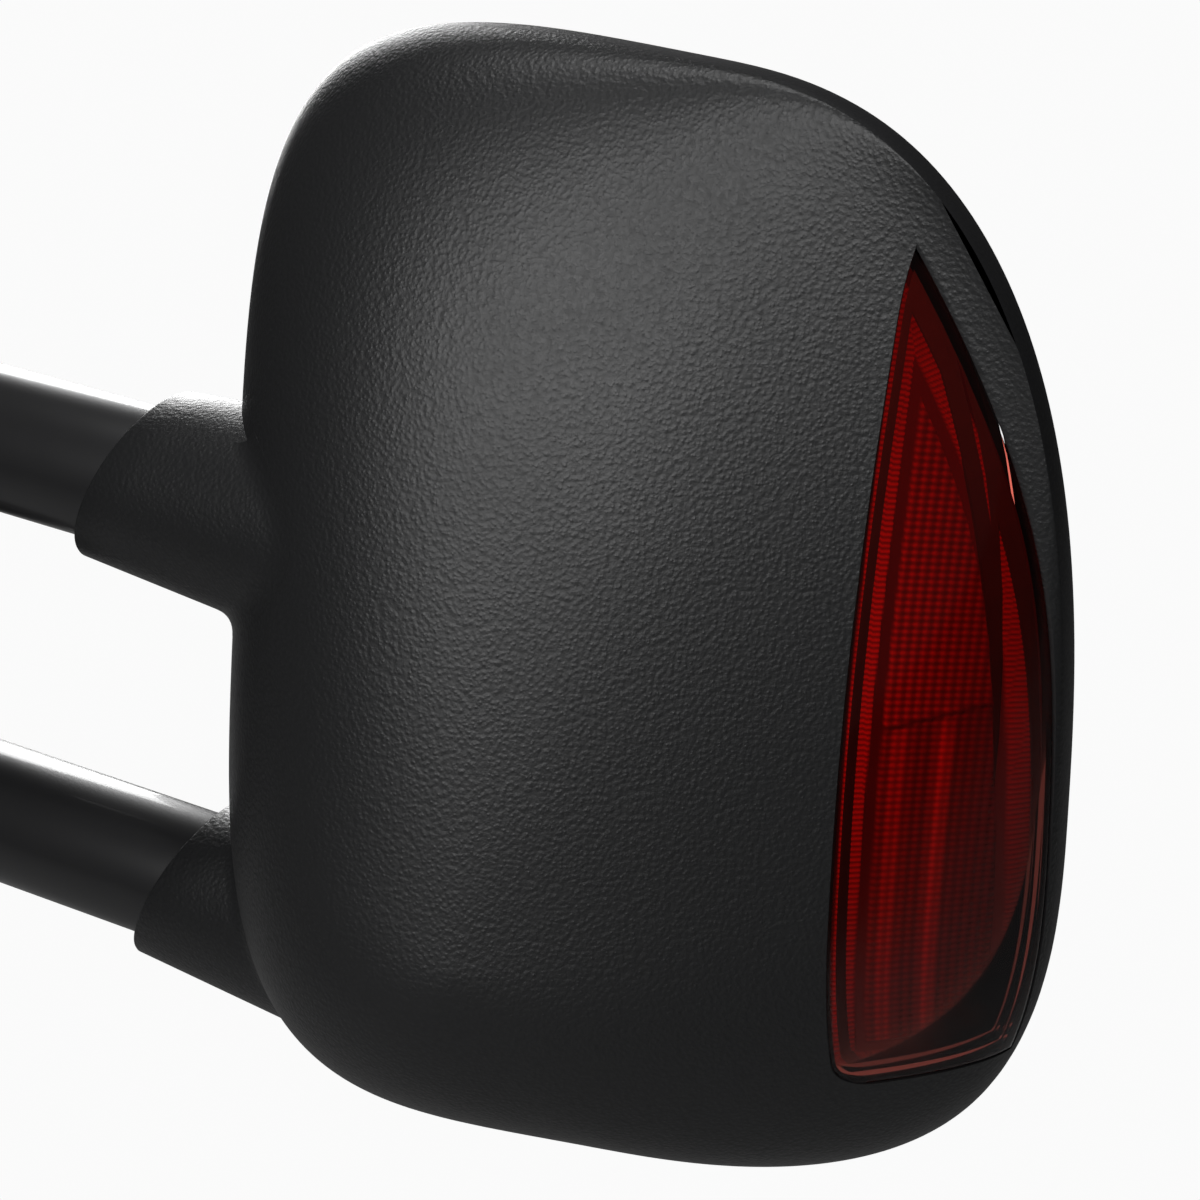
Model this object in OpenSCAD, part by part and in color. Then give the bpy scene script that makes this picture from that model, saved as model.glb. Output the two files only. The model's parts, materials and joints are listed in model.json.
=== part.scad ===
// Extending towing mirror, driver's side.
// Frame: +X points outboard from the door, +Y rearward (the way the glass faces), +Z up.
// The origin is the centre of the mounting face that lies on the door (the plane X = 0).
// The head is drawn pulled out to its towing position.

/* [Head] */
// Inboard edge of the head at the seam, from the door
head_in_x = 245; // [240:1:248]
// Outboard edge of the head at the seam, from the door
head_out_x = 497; // [494:1:500]
// Top of the head above the mount centre
head_top_z = 204; // [202:1:208]
// Bottom of the head below the mount centre
head_low_z = -116.5; // [-120:0.5:-114]
// Seam between the front shell and the rear housing
seam_y = 47; // [46:0.5:48]
// How far the front shell bulges forward of the seam
head_depth = 105; // [103:1:108]
// Depth of the rear housing behind the seam
rear_depth = 21; // [20:0.5:23]
// Width of the rounded edge of the rear housing
rear_round = 15; // [14:0.5:16]
// Wall thickness of the plastic shells
shell_wall = 2.8; // [2.5:0.1:3]

/* [Arms] */
// Distance between the two arm tubes
tube_pitch = 130; // [128:1:132]
// Outer diameter of each arm tube
tube_d = 42; // [42:0.1:42.2]
// Wall of each arm tube
tube_wall = 2.5; // [2:0.1:3]
// Distance of the fold axis from the door
fold_x = 50; // [50:1:51]
// Running gap between a tube and its bushes
slide_gap = 0.05; // [0.03:0.01:0.08]

/* [Cuffs] */
// Radius of a cuff at its open end
cuff_end_r = 26; // [26:0.1:26.5]
// Radius of a cuff where it meets the head
cuff_root_r = 31.5; // [31:0.5:32]
// Slant of the cuff end faces
cuff_slant = 24; // [20:1:26]

/* [Mirror glass] */
// Gap between the glass edge and the housing opening
glass_gap = 3; // [3:0.1:3.5]
// Thickness of each mirror glass
glass_t = 2.5; // [2:0.1:2.5]
// Height of the bar between the two glasses
bar_h = 12; // [11:0.5:13]
// Top of the bar between the two glasses
bar_top_z = -2; // [-3:0.5:-1]

/* [Signal lamp] */
// Top tip of the signal lens
lens_top_z = 179.5; // [178:0.5:180]
// Bottom edge of the signal lens
lens_low_z = -61; // [-62:0.5:-60]
// Wall of the signal lens
lens_wall = 2.6; // [2.4:0.1:2.8]
// Number of signal lights on the board
led_count = 5; // [3:1:5]

/* [Door mount] */
// Diameter of the door studs
stud_d = 8; // [6:0.5:8]
// Length of each stud beyond the door face
stud_len = 26; // [20:1:30]
// Height of the base plate
base_h = 200; // [196:1:204]
// Width of the base plate
base_w = 84; // [82:1:88]

/* [Hidden] */
$fn = 48;

// Places along the arm, all measured from the door face
tube_r = tube_d / 2;
tube_z = tube_pitch / 2;

// Height of arm tube 0 (upper) or 1 (lower)
function arm_z(i) = tube_z * (1 - 2 * i);

socket_x = 84;
cover_end_x = 118;
tube_end_x = 288;
stop_t = 4;
sleeve_r = 24.5;
sleeve_bore_r = 22.8;
sleeve_end_x = 288;
sleeve_start_x = [242, 254];
cuff_mid_x = [224.5, 236.5];
cuff_length = 78;
cuff_split_y = -14;
cuff_wall = 2.4;

// Nose of the front shell and the squareness of its outline
nose_x = 373;
nose_z = -20;
crown_x = 381;
keel_x = 398;
hip_in_z = 84;
hip_out_z = 7;
square_top_in = 3.8;
square_top_out = 2.65;
square_low_out = 2.65;
square_low_in = 5.2;
square_nose = 2.7;
// Roundness of the front shell towards each side
round_in = 1.6;
round_out = 1.87;
round_top = 2.5;
round_low = 1.67;
// The front sweeps back outboard and leans back towards the top
sweep = 0.58 / 125;
lean = -0.5 / 160;
ring_points = 64;
ring_count = 14;
// Coarser rings for the hidden layers of the lamp
lamp_points = 32;
lamp_rings = 10;

// Glass, pivots and joint travel clearances
lip_y = seam_y + rear_depth;
opening_inset = rear_round + 1;
collar_t = 2;
glass_inset = opening_inset + glass_gap;
glass_face_y = lip_y - 7.5;
holder_back_y = glass_face_y - 5;
pivot_y = holder_back_y - 6;
bar_low_z = bar_top_z - bar_h;
upper_pivot = [373, pivot_y, 112];
lower_pivot = [373, pivot_y, -56];
jack_arm = 26;
trunnion_r = 1.5;
gimbal_gap = 0.05;

// Screws
screw_r = 2;

// ---- Helpers ----

// One moulding with free curves, kept as a single skin
module moulded() {
    $fn = 32;
    resize([0, 0, 0]) children();
}

// 2-D shape in the X-Z plane, extruded from y0 to y1
module slab_y(y0, y1) {
    translate([0, y1, 0]) rotate([90, 0, 0]) linear_extrude(y1 - y0) children();
}

// 2-D shape in the Y-Z plane, extruded from x0 to x1
module slab_x(x0, x1) {
    translate([x0, 0, 0]) rotate([90, 0, 90]) linear_extrude(x1 - x0) children();
}

// Round bar along X
module bar_x(x0, x1, y, z, r) {
    translate([x0, y, z]) rotate([0, 90, 0]) cylinder(h = x1 - x0, r = r);
}

// Round bar along Y
module bar_y(x, y0, y1, z, r) {
    translate([x, y0, z]) rotate([-90, 0, 0]) cylinder(h = y1 - y0, r = r);
}

// Round bar along Z
module bar_z(x, y, z0, z1, r) {
    translate([x, y, z0]) cylinder(h = z1 - z0, r = r);
}

// Corners of a rounded rectangle, width by height, centred
function rounded(w, h, r) = [
    for (c = [[1, 1, 0], [-1, 1, 90], [-1, -1, 180], [1, -1, 270]], a = [0 : 15 : 90])
        [c[0] * (w / 2 - r) + r * cos(c[2] + a), c[1] * (h / 2 - r) + r * sin(c[2] + a)]
];

// Superellipse quarter: how far cosine or sine reaches at squareness n
function reach(v, n) = pow(abs(v), 2 / n);

// Shrinkage of an outline at forward fraction t, for roundness e
function shrink(t, e) = pow(max(0, 1 - pow(t, e)), 1 / e);

// Outline point of the head at angle a and forward fraction t, inset by w
function head_xz(a, t, w) =
    let (
        up = sin(a) >= 0,
        out = cos(a) >= 0,
        kx = shrink(t, out ? round_out : round_in),
        kz = shrink(t, up ? round_top : round_low),
        cx = nose_x + ((up ? crown_x : keel_x) - nose_x) * kz,
        cz = nose_z + ((out ? hip_out_z : hip_in_z) - nose_z) * kx,
        ex = nose_x + ((out ? head_out_x - w : head_in_x + w) - nose_x) * kx,
        ez = nose_z + ((up ? head_top_z - w : head_low_z + w) - nose_z) * kz,
        rim_n = up ? (out ? square_top_out : square_top_in) : (out ? square_low_out : square_low_in),
        n = rim_n + (square_nose - rim_n) * t
    )
    [cx + (ex - cx) * reach(cos(a), n), cz + (ez - cz) * reach(sin(a), n)];

// Point of the front skin, inset by w
function front_point(a, t, w) =
    let (p = head_xz(a, t, w))
    [p[0], seam_y - (head_depth - w) * t * (1 - sweep * (p[0] - nose_x) + lean * (p[1] - nose_z)), p[1]];

// Point of the rear skin, at angle b round its edge, inset by w
function rear_point(a, b, w) =
    let (p = head_xz(a, 0, w + rear_round * (1 - cos(b))))
    [p[0], seam_y + (rear_depth - w) * sin(b), p[1]];

// Rim outline of the head, inset by w, as points in X and Z
function outline(w) = [for (i = [0 : ring_points - 1]) head_xz(i * 360 / ring_points, 0, w)];

// Side triangles between rings of n points, from ring 0 to ring m
function ring_faces(n, m) = [
    for (j = [0 : m - 1], i = [0 : n - 1], s = [0, 1])
        let (a = j * n + i, b = j * n + (i + 1) % n)
        s == 0 ? [a, b + n, b] : [a, a + n, b + n]
];

// Solid front of the head, inset by w, with a flat back at y = back
module front_solid(w, back = seam_y, n = ring_points, m = ring_count) {
    lead = [for (i = [0 : n - 1]) let (p = head_xz(i * 360 / n, 0, w)) [p[0], back, p[1]]];
    skin = [for (j = [0 : m - 1], i = [0 : n - 1]) front_point(i * 360 / n, sin(j * 90 / m), w)];
    nose = [front_point(0, 1, w)];
    start = back > seam_y ? lead : [];
    rings = back > seam_y ? m + 1 : m;
    last = (rings - 1) * n;
    polyhedron(
        concat(start, skin, nose),
        concat(
            [[for (i = [0 : n - 1]) i]],
            ring_faces(n, rings - 1),
            [for (i = [0 : n - 1]) [last + i, last + n, last + (i + 1) % n]]
        )
    );
}

// Solid rear edge of the head, inset by w
module rear_solid(w) {
    n = ring_points;
    m = 6;
    polyhedron(
        [for (j = [0 : m], i = [0 : n - 1]) rear_point(i * 360 / n, j * 90 / m, w)],
        concat(
            [[for (i = [0 : n - 1]) n - 1 - i]],
            [for (f = ring_faces(n, m)) [f[0], f[2], f[1]]],
            [[for (i = [0 : n - 1]) m * n + i]]
        )
    );
}

// Flat openings of the two glasses, inset by w from the rim outline, grown by g at the bar
module upper_window(w, g) {
    intersection() {
        polygon(outline(w));
        translate([head_in_x, bar_top_z + g]) square([300, 250]);
    }
}

module lower_window(w, g) {
    intersection() {
        polygon(outline(w));
        translate([head_in_x, bar_low_z - g - 150]) square([300, 150]);
    }
}

// ---- Door mount ----

stud_places = [[0, 80], [-24, -72], [24, -72]];
gasket_t = 2;
plate_t = 7;
plate_x = gasket_t + plate_t;
grommet_r = 11;
grommet_z = -20;
// Splined shank of each stud, pressed into the plate
shank_r = stud_d / 2 + 0.5;
shank_x = 0.3;
lug_r = 24;
lug_z = 34;
lug_t = 12;
pin_r = 6;
washer_t = 0.7;

module base_casting() {
    color("#26272a") difference() {
        union() {
            slab_x(gasket_t, plate_x) polygon(rounded(base_w, base_h, 24));
            for (z = [lug_z, -lug_z - lug_t])
                translate([0, 0, z]) linear_extrude(lug_t) {
                    translate([fold_x, 0]) circle(lug_r);
                    polygon([
                        [gasket_t + 1, -34], [fold_x - 6, -lug_r], [fold_x - 6, lug_r], [gasket_t + 1, 34]
                    ]);
                }
            for (y = [-20, 16])
                translate([plate_x - 1, y, -60]) cube([5, 4, 130]);
        }
        bar_z(fold_x, 0, -60, 60, pin_r);
        bar_x(-1, 20, 0, grommet_z, grommet_r);
        for (p = stud_places) {
            bar_x(-1, plate_x + 1, p[0], p[1], shank_r);
            bar_x(plate_x, 30, p[0], p[1], 9);
        }
    }
}

module door_gasket() {
    color("#1b1b1c") slab_x(0, gasket_t) difference() {
        polygon(rounded(base_w - 2, base_h - 2, 23));
        translate([0, grommet_z]) circle(grommet_r + 0.3);
        for (p = stud_places)
            translate(p) circle(shank_r + 3.5);
    }
}

module door_studs() {
    color("silver") for (p = stud_places)
        difference() {
            union() {
                bar_x(-stud_len, 1, p[0], p[1], stud_d / 2);
                bar_x(shank_x, plate_x, p[0], p[1], shank_r);
                translate([plate_x, p[0], p[1]]) rotate([0, 90, 0]) cylinder(h = 5, r = 7.5, $fn = 6);
            }
            bar_x(plate_x + 3, plate_x + 6, p[0], p[1], 3);
        }
}

module base_cover() {
    skirt_x = 26;
    color("#1e1f21") difference() {
        slab_x(gasket_t, skirt_x) polygon(rounded(base_w + 10, base_h + 10, 29));
        slab_x(gasket_t - 1, skirt_x - 2.5) polygon(rounded(base_w + 5, base_h + 5, 26));
        slab_x(skirt_x - 3, skirt_x + 1) polygon(rounded(68, 112, 14));
    }
}

module wire_grommet() {
    color("#151515") translate([0, 0, grommet_z]) rotate([0, 90, 0]) rotate_extrude()
        polygon([
            [7, -5], [10, -5], [grommet_r, 0], [grommet_r, plate_x],
            [14, plate_x], [14, plate_x + 3], [9, 16], [7, 16]
        ]);
}

module pivot_pin() {
    color("silver") translate([fold_x, 0, 0]) union() {
        translate([0, 0, -52]) cylinder(h = 108, r = pin_r);
        difference() {
            translate([0, 0, -58]) cylinder(h = 6, r = 11);
            translate([0, 0, -59]) cylinder(h = 4, r = 5, $fn = 6);
        }
    }
}

module pivot_nut() {
    color("silver") translate([fold_x, 0, lug_z + lug_t]) difference() {
        cylinder(h = 8, r = 10, $fn = 6);
        translate([0, 0, -1]) cylinder(h = 10, r = pin_r);
    }
}

module spring_washers() {
    color("#8b8f94") for (i = [0 : 2])
        translate([fold_x, 0, -lug_z - lug_t - 2 * (i + 1)]) rotate_extrude()
            polygon([[pin_r, 0], [10.5, 0.5], [10.5, 1.9], [pin_r, 1.4]]);
}

module thrust_washers() {
    color("#b08d57") for (z = [lug_z - washer_t, -lug_z])
        translate([fold_x, 0, z]) difference() {
            cylinder(h = washer_t, r = 18);
            translate([0, 0, -1]) cylinder(h = 3, r = pin_r);
        }
}

module pivot_cap() {
    color("#1e1f21") translate([fold_x, 0, lug_z + lug_t]) rotate_extrude()
        polygon([[11, 0], [13, 0], [13, 11], [10, 14], [0, 14], [0, 12], [9, 12], [11, 10]]);
}

// ---- Folding arms ----

barrel_r = 20;
barrel_z = lug_z - washer_t - 0.05;
bush_r = 8;
cover_screw_z = 25;
cover_screw_x = 99;
cover_half_w = 33;

module arm_bracket() {
    color("#2a2b2e") difference() {
        union() {
            bar_z(fold_x, 0, -barrel_z, barrel_z, barrel_r);
            slab_y(-10, 10) polygon([
                [fold_x, -30], [socket_x - 2, -30], [socket_x - 2, -tube_z], [112, -tube_z],
                [112, tube_z], [socket_x - 2, tube_z], [socket_x - 2, 30], [fold_x, 30]
            ]);
            for (z = [tube_z, -tube_z])
                bar_x(socket_x, 112, 0, z, tube_r + 6);
        }
        bar_z(fold_x, 0, -50, 50, bush_r);
        for (z = [tube_z, -tube_z])
            bar_x(socket_x + 2, 120, 0, z, tube_r);
        for (z = [cover_screw_z, -cover_screw_z])
            bar_y(cover_screw_x, -20, 20, z, 5);
        for (z = [[tube_z, tube_z + 40], [-tube_z - 40, -tube_z]])
            bar_z(98, 0, z[0], z[1], 3);
    }
}

module pivot_bushes() {
    color("#b08d57") for (z = [barrel_z - 14, -barrel_z])
        translate([fold_x, 0, z]) difference() {
            cylinder(h = 14, r = bush_r);
            translate([0, 0, -1]) cylinder(h = 16, r = pin_r + gimbal_gap);
        }
}

// One half of the bracket cover; side is -1 for the front half and 1 for the rear half
module bracket_cover(side) {
    wall = 2.5;
    boss_y = cover_half_w - 1;
    difference() {
        union() {
            difference() {
                slab_x(socket_x, cover_end_x) polygon(rounded(2 * cover_half_w, 196, 30));
                slab_x(socket_x - 1, cover_end_x - wall)
                    polygon(rounded(2 * (cover_half_w - wall), 196 - 2 * wall, 30 - wall));
            }
            for (z = [cover_screw_z, -cover_screw_z])
                bar_y(cover_screw_x, min(0, side * boss_y), max(0, side * boss_y), z, 4.2);
        }
        translate([socket_x - 2, side > 0 ? -50 : 0, -110]) cube([60, 50, 220]);
        for (z = [tube_z, -tube_z])
            bar_x(100, 130, 0, z, tube_r + 0.4);
        for (z = [cover_screw_z, -cover_screw_z]) {
            bar_y(cover_screw_x, -24, 50, z, screw_r);
            bar_y(cover_screw_x, 30, 50, z, 4);
        }
    }
}

module bracket_cover_front() {
    color("#1e1f21") bracket_cover(-1);
}

module bracket_cover_rear() {
    color("#1e1f21") bracket_cover(1);
}

module bracket_cover_screws() {
    color("silver") for (z = [cover_screw_z, -cover_screw_z]) {
        bar_y(cover_screw_x, -22, 30, z, screw_r);
        difference() {
            bar_y(cover_screw_x, 30, 32.5, z, 3.8);
            bar_y(cover_screw_x, 31, 33, z, 1.4);
        }
    }
}

module tube_set_screws() {
    color("silver") for (s = [1, -1])
        bar_z(98, 0, min(s * (tube_z + tube_r), s * (tube_z + tube_r + 8)),
            max(s * (tube_z + tube_r), s * (tube_z + tube_r + 8)), 3);
}

module arm_tube(z) {
    difference() {
        bar_x(socket_x + 2, tube_end_x, 0, z, tube_r);
        bar_x(socket_x, tube_end_x + 1, 0, z, tube_r - tube_wall);
    }
}

module upper_arm_tube() {
    color("#2b2b2d") arm_tube(tube_z);
}

module lower_arm_tube() {
    color("#2b2b2d") arm_tube(-tube_z);
}

module tube_end_stops() {
    color("#d8d4c8") for (z = [tube_z, -tube_z])
        difference() {
            union() {
                bar_x(tube_end_x, tube_end_x + stop_t, 0, z, sleeve_bore_r - 0.3);
                bar_x(tube_end_x - 10, tube_end_x + stop_t, 0, z, tube_r - tube_wall);
            }
            bar_x(tube_end_x - 12, tube_end_x + 6, 0, z, 12);
        }
}

// ---- Sliding head: frame ----

plate_y0 = 28;
plate_y1 = 31;
pad_x = 270;
pad_r = 5;
plug_r = 6.5;
frame_screw_places = [[290, 20], [290, -25], [330, 30], [330, -30]];

module head_frame() {
    color("#33363a") difference() {
        union() {
            for (i = [0, 1])
                bar_x(sleeve_start_x[i], sleeve_end_x, 0, arm_z(i), sleeve_r);
            slab_y(6, 14) polygon([
                [276, -tube_z], [300, -tube_z], [340, -34], [340, 34], [300, tube_z], [276, tube_z]
            ]);
            for (p = frame_screw_places)
                bar_y(p[0], 10, plate_y0, p[1], 6);
            for (z = [tube_z, -tube_z])
                bar_y(pad_x, 0, 40, z, plug_r + 2);
        }
        for (z = [tube_z, -tube_z]) {
            bar_x(200, 380, 0, z, sleeve_bore_r);
            bar_y(pad_x, 0, 30, z, pad_r);
            bar_y(pad_x, 29, 41, z, plug_r);
        }
        for (p = frame_screw_places)
            bar_y(p[0], 12, 40, p[1], screw_r);
    }
}

module tube_bushes() {
    color("#e2ded2") for (i = [0, 1], x = [0, 1])
        let (z = arm_z(i), x0 = x == 0 ? sleeve_start_x[i] : 277, x1 = x0 + (x == 0 ? 7 : 10))
        difference() {
            bar_x(x0, x1, 0, z, sleeve_bore_r);
            bar_x(x0 - 1, x1 + 1, 0, z, tube_r + slide_gap);
        }
}

module friction_pads() {
    color("#d9c9a0") for (z = [tube_z, -tube_z])
        difference() {
            bar_y(pad_x, 10, tube_r + 5, z, pad_r);
            bar_x(pad_x - 10, pad_x + 10, 0, z, tube_r + slide_gap);
        }
}

module friction_springs() {
    color("#9da1a6") for (z = [tube_z, -tube_z], i = [0 : 3])
        translate([pad_x, tube_r + 5.2 + i * 1.1, z]) rotate([-90, 0, 0]) rotate_extrude()
            translate([3.6, 0.5]) circle(r = 0.5, $fn = 16);
}

module friction_plugs() {
    color("#c9c5ba") for (z = [tube_z, -tube_z])
        difference() {
            bar_y(pad_x, 30.7, 40, z, plug_r);
            bar_y(pad_x, 36, 41, z, 3, $fn = 6);
        }
}

// Part of space outboard of the slanted end of a cuff, moved by shift
module beyond_cuff_end(i, shift) {
    translate([cuff_mid_x[i] + shift, 0, arm_z(i)]) rotate([0, cuff_slant, 0])
        translate([0, -60, -60]) cube([160, 120, 120]);
}

// Tapered cuff body number i, grown by g
module cuff_cone(i, g) {
    x0 = cuff_mid_x[i] - 14;
    translate([x0, 0, arm_z(i)]) rotate([0, 90, 0])
        cylinder(h = cuff_length, r1 = cuff_end_r + g - 0.3, r2 = cuff_root_r + g);
}

module tube_seals() {
    color("#101011") for (i = [0, 1])
        intersection() {
            difference() {
                bar_x(cuff_mid_x[i] - 12, cuff_mid_x[i] + 14, 0, arm_z(i), cuff_end_r - cuff_wall - 0.5);
                bar_x(cuff_mid_x[i] - 13, cuff_mid_x[i] + 15, 0, arm_z(i), tube_r + 0.3);
            }
            difference() {
                beyond_cuff_end(i, 1);
                beyond_cuff_end(i, 5);
            }
        }
}

module carrier_plate() {
    color("#2c2e31") slab_y(plate_y0, plate_y1) difference() {
        union() {
            intersection() {
                polygon(outline(34));
                translate([286, -88]) square([142, 180]);
            }
            translate([304, 80]) square([108, 50]);
        }
        translate([case_x0 - 2, case_z0 - 2]) square([case_w + 4, 60]);
        translate([345, -20]) square([60, 44]);
        for (x = tab_screw_x)
            translate([x, tab_z]) circle(screw_r + 0.3);
        for (p = frame_screw_places)
            translate(p) circle(screw_r + 0.3);
    }
}

module frame_screws() {
    color("silver") for (p = frame_screw_places) {
        bar_y(p[0], 13, plate_y1, p[1], screw_r);
        difference() {
            bar_y(p[0], plate_y1, plate_y1 + 2, p[1], 4);
            bar_y(p[0], plate_y1 + 1, plate_y1 + 3, p[1], 1.6);
        }
    }
}

// ---- Sliding head: shells ----

// Snap tabs of the front shell stand at these angles round the rim, with a catch behind each
tab_angles = [95, 140, 180, 225, 262, 298];

// Block that follows the rim at angle a, between insets w0 and w1
module rim_block(a, w0, w1, y0, y1) {
    slab_y(y0, y1)
        polygon([for (c = [[-2, w0], [2, w0], [2, w1], [-2, w1]]) head_xz(a + c[0], 0, c[1])]);
}

module front_shell() {
    color("#202123") moulded() {
        front_skin();
        for (a = tab_angles)
            rim_block(a, 4.3, 6.5, seam_y - 15, seam_y + 6);
    }
}

// Wall of the front shell with the front halves of the cuffs and the lens window
module front_skin() {
    difference() {
        union() {
            front_solid(0);
            for (i = [0, 1])
                intersection() {
                    cuff_cone(i, 0);
                    beyond_cuff_end(i, 0);
                    translate([200, -60, -120]) cube([120, 60 + cuff_split_y, 240]);
                }
        }
        front_solid(shell_wall, seam_y + 2);
        for (i = [0, 1])
            cuff_cone(i, -cuff_wall);
        lens_prism(0);
    }
}

// Rear half of cuff number i, closed on the inboard wall of the front shell
module cuff_cap(i) {
    moulded() difference() {
        intersection() {
            cuff_cone(i, 0);
            beyond_cuff_end(i, 0);
            translate([200, cuff_split_y + 0.3, -120]) cube([95, 60, 240]);
        }
        cuff_cone(i, -cuff_wall);
        front_solid(-0.2, seam_y + 1);
    }
}

module cuff_cap_upper() {
    color("#202123") cuff_cap(0);
}

module cuff_cap_lower() {
    color("#202123") cuff_cap(1);
}

module rear_housing() {
    color("#1c1d1f") moulded() difference() {
        union() {
            difference() {
                rear_solid(0);
                translate([0, -0.01, 0]) rear_solid(shell_wall);
            }
            slab_y(lip_y - 12, lip_y - 1) polygon(outline(opening_inset - collar_t));
            for (a = tab_angles)
                rim_block(a, 6.8, 9.5, seam_y + 2, lip_y - 6);
        }
        slab_y(lip_y - 20, lip_y + 1) upper_window(opening_inset, 0);
        slab_y(lip_y - 20, lip_y + 1) lower_window(opening_inset, 0);
    }
}

// ---- Signal lamp ----

lens_back_y = seam_y - 2.5;
lens_corner_r = 8;
lens_left_x = 457;
lens_bow = 10.3;
lens_shoulder_z = 148;
lens_tip_x = 456;

// Prism through the shell along the lens edge, inset by w
module lens_prism(w) {
    low = lens_low_z + w;
    corner = [
        for (a = [0 : 15 : 75])
            [lens_left_x + w + lens_corner_r * (1 - sin(a)), low + lens_corner_r * (1 - cos(a))]
    ];
    side = [
        for (z = [low + lens_corner_r : 10 : lens_shoulder_z - 1])
            [lens_left_x + w - lens_bow * sin(90 * (z - lens_low_z) / 200), z]
    ];
    side_x = lens_left_x - lens_bow * sin(90 * (lens_shoulder_z - lens_low_z) / 200);
    tip = [
        for (a = [0 : 10 : 90])
            [lens_tip_x + w + (side_x - lens_tip_x) * cos(a),
                lens_shoulder_z + (lens_top_z - 2 * w - lens_shoulder_z) * sin(a)]
    ];
    slab_y(-30, lens_back_y - w)
        polygon(concat([[540, low]], corner, side, tip, [[540, lens_top_z - 2 * w]]));
}

// Space swept by the tilting glass, grown by g, kept free behind the lamp
module glass_sweep(g) {
    translate([0, -g, 0]) intersection() {
        slab_y(0, 90) polygon(outline(opening_inset - 1 - g));
        slab_x(240, 520)
            polygon([[40, -130], [40, -14], [33.5, -13], [44, 150], [46, 220], [90, 220], [90, -130]]);
    }
}

// Layer of the lamp between two depths below the skin, inset by w from the lens edge,
// kept g clear of the glass sweep
module lamp_layer(outer, inner, w, g) {
    difference() {
        intersection() {
            front_solid(outer, seam_y, lamp_points, lamp_rings);
            lens_prism(w);
        }
        front_solid(inner, seam_y + 1, lamp_points, lamp_rings);
        glass_sweep(g);
    }
}

// Frame of the lights: they stand on a line behind the lens and look outwards
led_x = 470;
led_y = 17.4;
led_low = -12;
led_step = 13;
led_r = 2.4;
led_h = 2;
lamp_turn = -50;
lamp_tilt = 8.3;
lamp_skew = 0.12;
board_turn = -6.8;
bulb_at = -38;
board_d = 10;
board_t = 1.2;

// Children placed at distance u up the line of lights, d below the skin
module lamp_facing(u, d) {
    translate([led_x, led_y, 0]) rotate([0, 0, lamp_turn]) rotate([0, 90 - lamp_tilt, 0])
        translate([-u, lamp_skew * u, -d]) children();
}

module signal_lens() {
    color("#b01008") moulded() intersection() {
        difference() {
            front_solid(0);
            front_solid(lens_wall, seam_y + 1);
        }
        lens_prism(0.4);
    }
}

module lens_optic() {
    color("#d0240f") moulded() lamp_layer(lens_wall + 1, lens_wall + 2.4, 5, 2);
}

module lamp_reflector() {
    color("#c8c8cc") moulded() difference() {
        lamp_layer(8, 9.2, 4.5, 2.5);
        for (i = [0 : led_count - 1])
            lamp_facing(led_low + i * led_step, board_d) cylinder(h = 20, r = led_r + 1, $fn = 10);
        lamp_facing(bulb_at, 20) cylinder(h = 20, r = 8, $fn = 16);
    }
}

// Bowl behind the lens, from its edge back to the space of the tilting glass
module lamp_housing() {
    color("#18181a") moulded() difference() {
        intersection() {
            front_solid(lens_wall + 0.5);
            lens_prism(1);
        }
        glass_sweep(0);
        difference() {
            lens_prism(3);
            glass_sweep(1.6);
        }
        lamp_facing(bulb_at, 40) cylinder(h = 36, r = 7.6, $fn = 20);
    }
}

module led_board() {
    color("#1f5c33") difference() {
        lamp_facing(led_low - 8, board_d + board_t) rotate([0, 0, board_turn])
            translate([-4 * led_step - 16, -6, 0]) cube([4 * led_step + 16, 14, board_t]);
        glass_sweep(2);
        for (i = [0 : led_count - 1])
            lamp_facing(led_low + i * led_step, board_d + 2) cylinder(h = 3, r = led_r);
    }
}

module signal_leds() {
    color("#f2c744") for (i = [0 : led_count - 1])
        lamp_facing(led_low + i * led_step, board_d + board_t) {
            cylinder(h = led_h + board_t, r = led_r);
            translate([0, 0, led_h + board_t]) sphere(r = led_r - 0.1);
        }
}

module marker_bulb() {
    color("#e8e4da") lamp_facing(bulb_at, 17.5) {
        cylinder(h = 6, r = 3.4);
        translate([0, 0, 7]) sphere(r = 4.6);
    }
}

module bulb_socket() {
    color("#3a3a3c") lamp_facing(bulb_at, 28) difference() {
        union() {
            cylinder(h = 5, r = 5);
            translate([0, 0, 4]) cylinder(h = 8, r = 7.5);
        }
        translate([0, 0, 10.5]) cylinder(h = 3, r = 3.45);
    }
}

// ---- Glass tilt drive ----

case_w = 76;
case_h = 59;
case_x0 = 320;
case_z0 = 91;
case_y0 = 24;
cover_y0 = 39;
cover_y1 = 41;
tab_screw_x = [311, 405];
tab_z = 112;
tab_t = 2.5;
ear_x = 19;
ear_w = 3;
gimbal_r = 14;
motor_r = 5.5;
rod_r = 3;

// Rounded outline of the drive case, inset by w
module case_outline(w) {
    translate([case_x0 + case_w / 2, case_z0 + case_h / 2])
        polygon(rounded(case_w - 2 * w, case_h - 2 * w, 8 - w));
}

// Pair of ears that hold a gimbal at point p, standing on a face at y0
module gimbal_ears(p, y0) {
    for (s = [-1, 1])
        difference() {
            union() {
                translate([p[0] + s * ear_x - ear_w / 2, y0, p[2] - 3]) cube([ear_w, p[1] - y0, 6]);
                bar_x(p[0] + s * ear_x - ear_w / 2, p[0] + s * ear_x + ear_w / 2, p[1], p[2], 3);
            }
            bar_x(p[0] - 40, p[0] + 40, p[1], p[2], trunnion_r + gimbal_gap);
        }
}

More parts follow.
